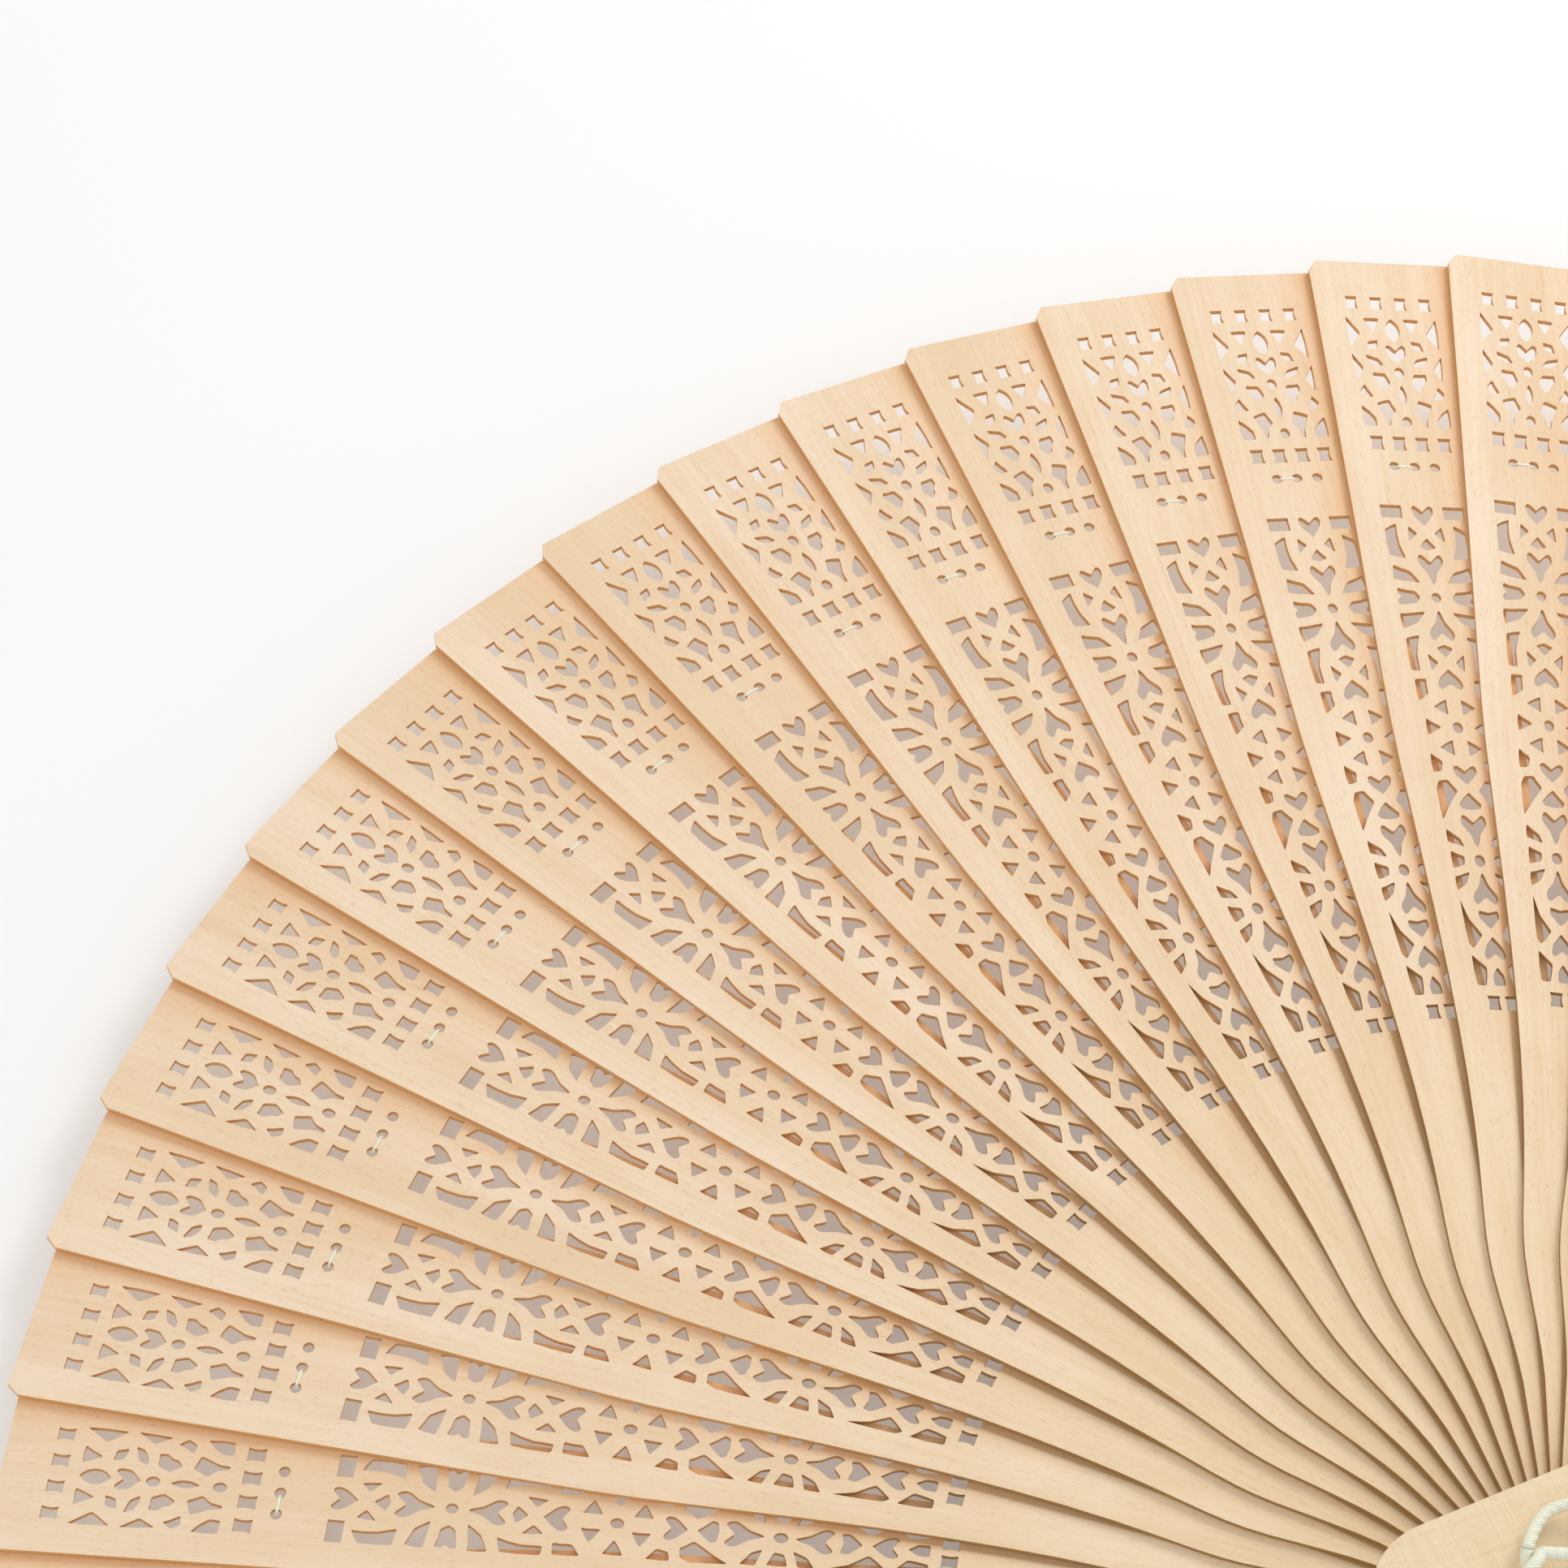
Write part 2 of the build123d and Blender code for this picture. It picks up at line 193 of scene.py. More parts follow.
# distances in metres; a figure's scale is its count to the metre, along, across and through a stick
woodSetting = {
    "pale": (0.900, 0.735, 0.560, 1),
    "warm": (0.815, 0.610, 0.400, 1),
    "cut": (0.640, 0.310, 0.105, 1),
    "cutPale": (0.800, 0.480, 0.200, 1),
    # painted shade: the sawn edges' colour near the rivet, where the steps between the leaves lie in shade
    "cutPaintedShadeNearRivet": (0.360, 0.205, 0.065, 1),
    "guardPale": (0.870, 0.715, 0.520, 1),
    "guardWarm": (0.780, 0.595, 0.385, 1),
    "gorgeTint": (0.990, 0.975, 0.900, 1),
    "poreTint": (0.800, 0.690, 0.560, 1),
    "underTint": (0.920, 0.590, 0.300, 1),
    "lineTint": (0.420, 0.270, 0.090, 1),
    "lineWidth": 0.00016,
    "lineTo": 0.110,
    "shadeFrom": 0.045,
    "shadeTo": 0.095,
    "sawTint": (0.930, 0.900, 0.850, 1),
    "ringScale": (9, 130, 130),
    "grainScale": (55, 1700, 1700),
    "cloudScale": (60, 80, 80),
    "poreScale": (900, 5200, 5200),
    "sawScale": (3600, 90, 900),
    "boardShift": (0.31, 0.17, 0.0),
    "gorgeFrom": 0.020,
    "gorgeTo": 0.100,
    # the next leaf's edge lies this far to the side at the rivet, and slopes away from there
    "underEdge": 0.00447,
    "underSlope": 0.0749,
    "underSpread": 0.014,    # the shade's width as a share of the distance from the rivet
}


def sandalwoodFigure():
    tree, given, result = newTree("sandalwoodFigure", "ShaderNodeTree", [
        ("Place", "NodeSocketVector", None), ("Facing", "NodeSocketVector", None),
        ("Heading", "NodeSocketFloat", 0.0), ("Board", "NodeSocketFloat", 0.0),
        ("Pale", "NodeSocketColor", woodSetting["pale"]),
        ("Warm", "NodeSocketColor", woodSetting["warm"]),
        ("Under", "NodeSocketFloat", 1.0), ("Saw Marks", "NodeSocketFloat", 0.2),
    ], [("Color", "NodeSocketColor"), ("Roughness", "NodeSocketFloat"), ("Height", "NodeSocketFloat")])
    turn = sums(tree, "MULTIPLY", given["Heading"], -1.0)
    turned = addNode(tree, "ShaderNodeVectorRotate", {"Vector": given["Place"], "Angle": turn},
                     rotation_type="Z_AXIS").outputs[0]
    shift = addNode(tree, "ShaderNodeVectorMath", {0: vector(tree, given["Board"], given["Board"], 0.0),
                                                   1: woodSetting["boardShift"]},
                    operation="MULTIPLY").outputs[0]
    board = addNode(tree, "ShaderNodeVectorMath", {0: turned, 1: shift}, operation="ADD").outputs[0]
    # the figure in four sizes: growth rings, fine grain, clouds and pores
    rings = noise(tree, scaled(tree, board, *woodSetting["ringScale"]), 2.0)
    grain = noise(tree, scaled(tree, board, *woodSetting["grainScale"]), 4.0, 0.62)
    clouds = noise(tree, scaled(tree, board, *woodSetting["cloudScale"]), 3.0, 0.6)
    pores = noise(tree, scaled(tree, board, *woodSetting["poreScale"]), 1.0)
    pores = rising(tree, pores, 0.62, 0.74)
    saw = noise(tree, scaled(tree, board, *woodSetting["sawScale"]), 2.0)
    tone = sums(tree, "ADD", sums(tree, "MULTIPLY", rings, 0.45), sums(tree, "MULTIPLY", grain, 0.30))
    tone = sums(tree, "ADD", tone, sums(tree, "MULTIPLY", clouds, 0.25))
    color = mixColor(tree, rising(tree, tone, 0.36, 0.64), given["Pale"], given["Warm"])
    color = mixColor(tree, sums(tree, "MULTIPLY", pores, 0.45), color, woodSetting["poreTint"], "MULTIPLY")
    sawTone = sums(tree, "MULTIPLY", rising(tree, saw, 0.40, 0.62), given["Saw Marks"])
    color = mixColor(tree, sawTone, color, woodSetting["sawTint"], "MULTIPLY")
    # yellower towards the rivet
    axes = addNode(tree, "ShaderNodeSeparateXYZ", {0: turned}).outputs
    gorge = sums(tree, "SUBTRACT", 1.0, rising(tree, axes["X"], woodSetting["gorgeFrom"],
                                                    woodSetting["gorgeTo"]))
    color = mixColor(tree, gorge, color, woodSetting["gorgeTint"], "MULTIPLY")
    # darker and redder where the next leaf lies on it and keeps the light off
    edge = sums(tree, "MULTIPLY_ADD", axes["X"], woodSetting["underSlope"], -woodSetting["underEdge"])
    clear = sums(tree, "MAXIMUM", sums(tree, "ADD", axes["Y"], edge), 0.0)
    spread = sums(tree, "MULTIPLY", sums(tree, "MAXIMUM", axes["X"], 0.01), -woodSetting["underSpread"])
    under = sums(tree, "EXPONENT", sums(tree, "DIVIDE", clear, spread))
    under = sums(tree, "MULTIPLY", under, rising(tree, axes["X"], woodSetting["shadeFrom"],
                                              woodSetting["shadeTo"]))
    under = sums(tree, "MULTIPLY", under, given["Under"])
    color = mixColor(tree, under, color, woodSetting["underTint"], "MULTIPLY")
    # towards the rivet the shade narrows to a thin dark line
    line = sums(tree, "EXPONENT", sums(tree, "MULTIPLY", clear, -1 / woodSetting["lineWidth"]))
    near = sums(tree, "SUBTRACT", 1.0, rising(tree, axes["X"], woodSetting["shadeFrom"],
                                                   woodSetting["lineTo"]))
    line = sums(tree, "MULTIPLY", sums(tree, "MULTIPLY", line, near), given["Under"])
    color = mixColor(tree, line, color, woodSetting["lineTint"], "MULTIPLY")
    # the sawn edges of the holes are darker, like end grain; towards the rivet they turn darker still,
    # which is painted shade for the shaded steps between the leaves
    up = addNode(tree, "ShaderNodeSeparateXYZ", {0: given["Facing"]}).outputs["Z"]
    wall = sums(tree, "SUBTRACT", 1.0, rising(tree, sums(tree, "ABSOLUTE", up), 0.2, 0.6))
    cutColor = mixColor(tree, grain, woodSetting["cut"], woodSetting["cutPale"])
    cutColor = mixColor(tree, near, cutColor, woodSetting["cutPaintedShadeNearRivet"])
    color = mixColor(tree, wall, color, cutColor)
    rough = sums(tree, "MULTIPLY_ADD", grain, 0.22, 0.46)
    height = sums(tree, "SUBTRACT", grain, sums(tree, "MULTIPLY", pores, 0.6))
    height = sums(tree, "ADD", height, sums(tree, "MULTIPLY", saw, given["Saw Marks"]))
    for name, value in (("Color", color), ("Roughness", rough), ("Height", height)):
        tree.links.new(value, result[name])
    return tree


def woodMaterial(name, figure, heading, board, pale, warm, under, sawMarks):
    material, tree, shader = newMaterial(name)
    wood = addNode(tree, "ShaderNodeGroup", node_tree=figure)
    place = addNode(tree, "ShaderNodeTexCoord").outputs["Object"]
    facing = addNode(tree, "ShaderNodeNewGeometry").outputs["Normal"]
    tree.links.new(place, wood.inputs["Place"])
    tree.links.new(facing, wood.inputs["Facing"])
    for key, value in (("Heading", heading), ("Board", board), ("Pale", pale), ("Warm", warm),
                       ("Under", under), ("Saw Marks", sawMarks)):
        wood.inputs[key].default_value = value
    bump = addNode(tree, "ShaderNodeBump", {"Strength": 0.35, "Distance": 0.00006,
                                            "Height": wood.outputs["Height"]})
    tree.links.new(wood.outputs["Color"], shader.inputs["Base Color"])
    tree.links.new(wood.outputs["Roughness"], shader.inputs["Roughness"])
    tree.links.new(bump.outputs[0], shader.inputs["Normal"])
    shader.inputs["Specular IOR Level"].default_value = 0.35
    return material


def between(first, second, share):
    return tuple(a + (b - a) * share for a, b in zip(first, second))


# the fan's layout, as the sticks lie when it is open
fanSetting = {
    "leafCount": 28,
    "step": 5.85,
    "threadReach": 140.7 * mm,
    "threadSpacing": 2.45 * mm,
    "rowSlant": 4.5,
    "laterPale": (0.900, 0.722, 0.535, 1),
    "laterWarm": (0.815, 0.598, 0.380, 1),
}


def stickHeading(index):
    return radians(90 + fanSetting["step"] * ((fanSetting["leafCount"] + 1) / 2 - index))


def setMaterial(node, material):
    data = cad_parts[node].data
    data.materials.clear()
    data.materials.append(material)


figure = sandalwoodFigure()
lastStick = fanSetting["leafCount"] + 1
for index in range(1, lastStick):
    share = index / lastStick
    wobble = 0.5 + 0.5 * sin(index * 2.4)
    pale = between(woodSetting["pale"], fanSetting["laterPale"], share)
    warm = between(woodSetting["warm"], fanSetting["laterWarm"], share)
    pale = between(pale, warm, 0.22 * wobble)
    name = "leaf_%02d" % index
    setMaterial(name, woodMaterial("sandalwoodLeaf%02d" % index, figure, stickHeading(index),
                                   1.0 + 0.73 * index, pale, warm, 0.75, 0.10))
setMaterial("back_guard", woodMaterial("sandalwoodBackGuard", figure, stickHeading(0), 31.0,
                                       woodSetting["guardPale"], woodSetting["guardWarm"], 0.6, 0.6))
setMaterial("front_guard", woodMaterial("sandalwoodFrontGuard", figure, stickHeading(lastStick), 37.0,
                                        woodSetting["guardPale"], woodSetting["guardWarm"], 0.0, 0.6))
print("sandalwood on", lastStick + 1, "sticks")


brassSetting = {
    "bright": (0.80, 0.60, 0.28, 1),
    "dull": (0.52, 0.36, 0.15, 1),
    "patchScale": (700, 700, 700),
    "scratchScale": (9000, 600, 600),
}


def brassWear():
    tree, given, result = newTree("brassWear", "ShaderNodeTree", [
        ("Place", "NodeSocketVector", None), ("Tarnish", "NodeSocketFloat", 0.5),
    ], [("Color", "NodeSocketColor"), ("Roughness", "NodeSocketFloat"), ("Height", "NodeSocketFloat")])
    patches = noise(tree, scaled(tree, given["Place"], *brassSetting["patchScale"]), 4.0, 0.6)
    scratches = noise(tree, scaled(tree, given["Place"], *brassSetting["scratchScale"]), 2.0)
    dullness = sums(tree, "MULTIPLY", rising(tree, patches, 0.40, 0.66), given["Tarnish"])
    color = mixColor(tree, dullness, brassSetting["bright"], brassSetting["dull"])
    rough = sums(tree, "MULTIPLY_ADD", dullness, 0.30, sums(tree, "MULTIPLY_ADD", scratches, 0.16, 0.14))
    for name, value in (("Color", color), ("Roughness", rough), ("Height", scratches)):
        tree.links.new(value, result[name])
    return tree


def brassMaterial(name, wear, tarnish):
    material, tree, shader = newMaterial(name)
    metal = addNode(tree, "ShaderNodeGroup", node_tree=wear)
    place = addNode(tree, "ShaderNodeTexCoord").outputs["Object"]
    tree.links.new(place, metal.inputs["Place"])
    metal.inputs["Tarnish"].default_value = tarnish
    bump = addNode(tree, "ShaderNodeBump", {"Strength": 0.2, "Distance": 0.00003,
                                            "Height": metal.outputs["Height"]})
    tree.links.new(metal.outputs["Color"], shader.inputs["Base Color"])
    tree.links.new(metal.outputs["Roughness"], shader.inputs["Roughness"])
    tree.links.new(bump.outputs[0], shader.inputs["Normal"])
    shader.inputs["Metallic"].default_value = 1.0
    return material


wear = brassWear()
setMaterial("rivet", brassMaterial("brassRivet", wear, 0.35))
setMaterial("front_washer", brassMaterial("brassFrontWasher", wear, 0.6))
setMaterial("back_washer", brassMaterial("brassBackWasher", wear, 0.8))
print("brass rivet and washers")


# the same route as the cord's tube, in metres
cordRoute = [
    (-0.0103, 0.0005, 0.0289), (-0.0136, -0.0046, 0.0285), (-0.0180, -0.0120, 0.0285),
    (-0.0255, -0.0225, 0.0284), (-0.0290, -0.0285, 0.0150), (-0.0325, -0.0340, 0.0032),
    (-0.0420, -0.0400, 0.0017), (-0.0560, -0.0425, 0.0019), (-0.0700, -0.0410, 0.0046),
]
# out from the cord, through the rivet's eye and back
loopRoute = [
    (-0.0097, 0.0001, 0.0289), (-0.0078, -0.0004, 0.0282), (-0.0045, -0.0014, 0.0282),
    (-0.0016, -0.0024, 0.0291), (0.0, -0.0016, 0.0294), (0.0, 0.0, 0.0294), (0.0, 0.0016, 0.0294),
    (-0.0014, 0.0028, 0.0292), (-0.0046, 0.0046, 0.0283), (-0.0084, 0.0040, 0.0281),
    (-0.0109, 0.0009, 0.0289),
]
cordSetting = {
    "strandRadius": 0.72 * mm,
    "strandPitch": 8.5 * mm,       # one turn of the two strands round each other
    "plies": 3,
    "plyPitch": 3.4 * mm,
    "plyDepth": 0.16,
    "step": 0.22 * mm,
    "sides": 18,
    "ivory": (0.900, 0.920, 0.790, 1),
    # painted shade: the dark colour of the grooves between the fibres, which also serves as random fibre
    # tone
    "hollow": (0.640, 0.620, 0.430, 1),
    "agedTint": (0.960, 0.900, 0.760, 1),
    "fuzzScale": (3500, 3500, 3500),
    "cloudScale": (160, 160, 160),
    "bundleScale": (900, 900, 900),
}


def splinePoints(name, route):
    curve = bpy.data.curves.new(name, "CURVE")
    curve.dimensions = "3D"
    curve.resolution_u = 40
    spline = curve.splines.new("NURBS")
    spline.points.add(len(route) - 1)
    for point, place in zip(spline.points, route):
        point.co = (*place, 1)
    spline.order_u = 3
    spline.use_endpoint_u = True
    holder = bpy.data.objects.new(name, curve)
    mesh = bpy.data.meshes.new_from_object(holder)
    points = [vertex.co.copy() for vertex in mesh.vertices]
    bpy.data.meshes.remove(mesh)
    bpy.data.curves.remove(curve)
    return points


def evenly(points, step):
    along = [0.0]
    for before, after in zip(points, points[1:]):
        along.append(along[-1] + (after - before).length)
    count = round(along[-1] / step)
    placed = []
    at = 0
    for i in range(count + 1):
        want = along[-1] * i / count
        while at < len(points) - 2 and along[at + 1] < want:
            at += 1
        share = (want - along[at]) / (along[at + 1] - along[at])
        placed.append(points[at].lerp(points[at + 1], share))
    return placed


# for each point: the point and two directions across the line that don't spin along it
def framed(points, first):
    frames = []
    side = Vector(first)
    for i, point in enumerate(points):
        ahead = points[min(i + 1, len(points) - 1)] - points[max(i - 1, 0)]
        ahead.normalize()
        side = (side - ahead * side.dot(ahead)).normalized()
        frames.append((point, side, ahead.cross(side)))
    return frames


# one strand: a tube whose plies wind round it, with u along the strand and v round it
def strandMesh(lines, radius):
    verts = []
    faces = []
    turns = []
    sides = cordSetting["sides"]
    for points in lines:
        base = len(verts)
        run = 0.0
        frames = framed(points, (0.02, 0.01, 1))
        for i, (point, side, other) in enumerate(frames):
            back = run
            if i:
                run += (point - points[i - 1]).length
            for j in range(sides):
                angle = 2 * pi * j / sides
                winding = angle / 2 - pi * run / cordSetting["plyPitch"]
                hollow = 1 - abs(sin(cordSetting["plies"] * winding))
                reach = radius * (1 - cordSetting["plyDepth"] * hollow)
                verts.append(point + (side * cos(angle) + other * sin(angle)) * reach)
            if i:
                for j in range(sides):
                    k = (j + 1) % sides
                    low = base + (i - 1) * sides
                    high = base + i * sides
                    faces.append((low + j, low + k, high + k, high + j))
                    turns.append([(back, j / sides), (back, (j + 1) / sides),
                                  (run, (j + 1) / sides), (run, j / sides)])
        end = base + (len(frames) - 1) * sides
        faces.append(tuple(base + j for j in reversed(range(sides))))
        faces.append(tuple(end + j for j in range(sides)))
        turns += [[(0, 0)] * sides, [(run, 0)] * sides]
    return verts, faces, turns


def meshPiece(name, verts, faces, turns, material):
    data = bpy.data.meshes.new(name)
    data.from_pydata(verts, [], faces)
    layer = data.uv_layers.new(name="windings")
    loop = 0
    for corners in turns:
        for along, around in corners:
            layer.data[loop].uv = (along / cordSetting["plyPitch"], around)
            loop += 1
    data.materials.append(material)
    data.shade_smooth()
    piece = bpy.data.objects.new(name, data)
    scene.collection.objects.link(piece)
    return piece


def threadPly():
    tree, given, result = newTree("threadPly", "ShaderNodeTree", [
        ("Along", "NodeSocketFloat", 0.0), ("Around", "NodeSocketFloat", 0.0),
        ("Place", "NodeSocketVector", None), ("Fibres", "NodeSocketFloat", 9.0),
    ], [("Color", "NodeSocketColor"), ("Roughness", "NodeSocketFloat"), ("Height", "NodeSocketFloat")])
    lay = sums(tree, "SUBTRACT", given["Around"], given["Along"])
    fibre = sums(tree, "SINE", sums(tree, "MULTIPLY", sums(tree, "MULTIPLY", lay, given["Fibres"]), 2 * pi))
    fibre = sums(tree, "MULTIPLY_ADD", fibre, 0.5, 0.5)
    fuzz = noise(tree, scaled(tree, given["Place"], *cordSetting["fuzzScale"]), 3.0, 0.65)
    clouds = noise(tree, scaled(tree, given["Place"], *cordSetting["cloudScale"]), 2.0)
    tone = sums(tree, "ADD", sums(tree, "MULTIPLY", fibre, 0.45), sums(tree, "MULTIPLY", fuzz, 0.55))
    # the dark end of this mix is painted shade in the grooves between the fibre stripes, mixed with random
    # fuzz tone
    color = mixColor(tree, rising(tree, tone, 0.15, 0.62), cordSetting["hollow"], cordSetting["ivory"])
    aged = sums(tree, "MULTIPLY", clouds, 0.25)
    color = mixColor(tree, aged, color, cordSetting["agedTint"], "MULTIPLY")
    rough = sums(tree, "MULTIPLY_ADD", fuzz, 0.25, 0.45)
    for name, value in (("Color", color), ("Roughness", rough), ("Height", tone)):
        tree.links.new(value, result[name])
    return tree


def threadMaterial(name, ply, fibres, alongLine):
    material, tree, shader = newMaterial(name)
    thread = addNode(tree, "ShaderNodeGroup", node_tree=ply)
    coordinates = addNode(tree, "ShaderNodeTexCoord")
    place = coordinates.outputs["Object"]
    tree.links.new(place, thread.inputs["Place"])
    if alongLine:
        windings = addNode(tree, "ShaderNodeUVMap", uv_map="windings").outputs["UV"]
        parts = addNode(tree, "ShaderNodeSeparateXYZ", {0: windings}).outputs
    else:
        bundles = scaled(tree, place, *cordSetting["bundleScale"])
        parts = addNode(tree, "ShaderNodeSeparateXYZ", {0: bundles}).outputs
    tree.links.new(parts["X"], thread.inputs["Along"])
    tree.links.new(parts["Y"], thread.inputs["Around"])
    thread.inputs["Fibres"].default_value = fibres
    bump = addNode(tree, "ShaderNodeBump", {"Strength": 0.5, "Distance": 0.00008,
                                            "Height": thread.outputs["Height"]})
    tree.links.new(thread.outputs["Color"], shader.inputs["Base Color"])
    tree.links.new(thread.outputs["Roughness"], shader.inputs["Roughness"])
    tree.links.new(bump.outputs[0], shader.inputs["Normal"])
    shader.inputs["Sheen Weight"].default_value = 0.25
    shader.inputs["Sheen Roughness"].default_value = 0.4
    return material


ply = threadPly()
cordThread = threadMaterial("cordThread", ply, 9.0, True)
cordLine = evenly(splinePoints("cordLine", cordRoute), cordSetting["step"])
strandLines = [[], []]
for i, (point, side, other) in enumerate(framed(cordLine, (0.84, -0.54, 0))):
    turn = 2 * pi * i * cordSetting["step"] / cordSetting["strandPitch"]
    out = (side * cos(turn) + other * sin(turn)) * cordSetting["strandRadius"]
    strandLines[0].append(point + out)
    strandLines[1].append(point - out)
twistedCord = meshPiece("twistedCord", *strandMesh(strandLines, cordSetting["strandRadius"]), cordThread)
loopLine = evenly(splinePoints("loopLine", loopRoute), cordSetting["step"])
cordEye = meshPiece("cordEye", *strandMesh([loopLine], cordSetting["strandRadius"]), cordThread)
print("cord and its loop")


tasselSetting = {
    "knotRadius": 4.2 * mm,
    "headThreads": 44,
    "headThread": 0.36 * mm,
    "joinOverlap": 0.4 * mm,
    "bindingRadius": 3.3 * mm,
    "bindingLength": 5.0 * mm,
    "bindingThread": 0.32 * mm,
    "skirtLength": 42.0 * mm,
    "skirtHalfWidth": 6.4 * mm,
    "skirtHalfHeight": 3.8 * mm,
    "skirtThreads": 340,
    "skirtThread": 0.24 * mm,
    "sway": 0.9 * mm,
    "goldenTurn": 2.39996,         # radians from thread to thread, which spreads them evenly
    "headTurn": 0.7,               # radians that a thread winds from one end of the head to the other
    "seed": 4,
}

# local +X runs along the tassel, local +Y lies across it and +Z is up
end = Vector(cordRoute[-1])
run = end - Vector(cordRoute[-2])
tasselAlong = Vector((run.x, run.y, 0)).normalized()
tasselAcross = Vector((-tasselAlong.y, tasselAlong.x, 0))
tasselPlace = Matrix.Translation(end) @ Matrix(
    (tasselAlong, tasselAcross, Vector((0, 0, 1)))).transposed().to_4x4()


# the tree's result as a plain mesh in its own place, with no modifier left
def settled(name, tree, values, place):
    holder = bpy.data.objects.new(name + "Holder", bpy.data.meshes.new(name + "Holder"))
    scene.collection.objects.link(holder)
    modifier = holder.modifiers.new(name, "NODES")
    modifier.node_group = tree
    for item in tree.interface.items_tree:
        if item.item_type == "SOCKET" and item.in_out == "INPUT" and item.name in values:
            modifier[item.identifier] = values[item.name]
    graph = bpy.context.evaluated_depsgraph_get()
    data = bpy.data.meshes.new_from_object(holder.evaluated_get(graph))
    data.name = name
    data.transform(place)
    holder.modifiers.remove(modifier)
    bpy.data.objects.remove(holder)
    piece = bpy.data.objects.new(name, data)
    scene.collection.objects.link(piece)
    return piece


def tubed(tree, curve, sides, radius):
    ring = addNode(tree, "GeometryNodeCurvePrimitiveCircle", {"Resolution": sides, "Radius": radius})
    return addNode(tree, "GeometryNodeCurveToMesh",
                   {"Curve": curve, "Profile Curve": ring.outputs[0], "Fill Caps": True}).outputs[0]


def closeTree(tree, result, shape, material):
    smooth = addNode(tree, "GeometryNodeSetShadeSmooth", {"Geometry": shape}).outputs[0]
    real = addNode(tree, "GeometryNodeRealizeInstances", {"Geometry": smooth}).outputs[0]
    painted = addNode(tree, "GeometryNodeSetMaterial", {"Geometry": real, "Material": material})
    tree.links.new(painted.outputs[0], result["Geometry"])


# a number of straight lines, each of which keeps its own number as an attribute
def numberedLines(tree, count, points):
    dots = addNode(tree, "GeometryNodePoints", {"Count": count}).outputs[0]
    number = addNode(tree, "GeometryNodeInputIndex").outputs[0]
    marked = addNode(tree, "GeometryNodeStoreNamedAttribute",
                     {"Geometry": dots, "Name": "threadNumber", "Value": number},
                     data_type="FLOAT", domain="POINT").outputs[0]
    line = addNode(tree, "GeometryNodeCurvePrimitiveLine").outputs[0]
    line = addNode(tree, "GeometryNodeResampleCurve", {"Curve": line, "Count": points}).outputs[0]
    copies = addNode(tree, "GeometryNodeInstanceOnPoints", {"Points": marked, "Instance": line}).outputs[0]
    real = addNode(tree, "GeometryNodeRealizeInstances", {"Geometry": copies}).outputs[0]
    kept = addNode(tree, "GeometryNodeInputNamedAttribute", {"Name": "threadNumber"},
                   data_type="FLOAT").outputs[0]
    share = addNode(tree, "GeometryNodeSplineParameter").outputs["Factor"]
    return real, kept, share


def skirtTree():
    tree, given, result = newTree("tasselSkirtThreads", "GeometryNodeTree", [
        ("Threads", "NodeSocketInt", 300), ("Length", "NodeSocketFloat", 0.04),
        ("Neck", "NodeSocketFloat", 0.003), ("Half Width", "NodeSocketFloat", 0.006),
        ("Half Height", "NodeSocketFloat", 0.004), ("Thread", "NodeSocketFloat", 0.0002),
        ("Sway", "NodeSocketFloat", 0.001), ("Seed", "NodeSocketInt", 1),
        ("Material", "NodeSocketMaterial", None),
    ], [("Geometry", "NodeSocketGeometry")])
    lines, number, share = numberedLines(tree, given["Threads"], 13)
    angle = sums(tree, "MULTIPLY", number, tasselSetting["goldenTurn"])
    ratio = sums(tree, "DIVIDE", sums(tree, "ADD", number, 0.5), given["Threads"])
    reach = sums(tree, "SQRT", ratio)
    spreadOut = sums(tree, "POWER", share, 0.55)
    width = sums(tree, "MULTIPLY_ADD", sums(tree, "SUBTRACT", given["Half Width"], given["Neck"]),
                 spreadOut, given["Neck"])
    height = sums(tree, "MULTIPLY_ADD", sums(tree, "SUBTRACT", given["Half Height"], given["Neck"]),
                  spreadOut, given["Neck"])
    # threads drift sideways and end unevenly
    drift = addNode(tree, "ShaderNodeTexNoise", {
        "Vector": vector(tree, sums(tree, "MULTIPLY", share, 2.2), sums(tree, "MULTIPLY", number, 3.7),
                         given["Seed"]), "Scale": 1.0, "Detail": 1.0}).outputs["Color"]
    drift = addNode(tree, "ShaderNodeSeparateXYZ", {0: drift}).outputs
    loose = sums(tree, "MULTIPLY", given["Sway"], share)
    sideways = sums(tree, "MULTIPLY", sums(tree, "SUBTRACT", drift["X"], 0.5), loose)
    sideways = sums(tree, "MULTIPLY", sideways, 2.0)
    lift = sums(tree, "MULTIPLY", sums(tree, "SUBTRACT", drift["Y"], 0.5), loose)
    uneven = addNode(tree, "FunctionNodeRandomValue",
                     {2: 0.955, 3: 1.0, "ID": number, "Seed": given["Seed"]},
                     data_type="FLOAT").outputs[1]
    long = sums(tree, "MULTIPLY", sums(tree, "MULTIPLY", share, given["Length"]), uneven)
    across = sums(tree, "MULTIPLY", sums(tree, "MULTIPLY", sums(tree, "COSINE", angle), reach), width)
    rise = sums(tree, "MULTIPLY", sums(tree, "MULTIPLY", sums(tree, "SINE", angle), reach), height)
    place = vector(tree, long, sums(tree, "ADD", across, sideways), sums(tree, "ADD", rise, lift))
    laid = addNode(tree, "GeometryNodeSetPosition", {"Geometry": lines, "Position": place}).outputs[0]
    closeTree(tree, result, tubed(tree, laid, 4, given["Thread"]), given["Material"])
    return tree


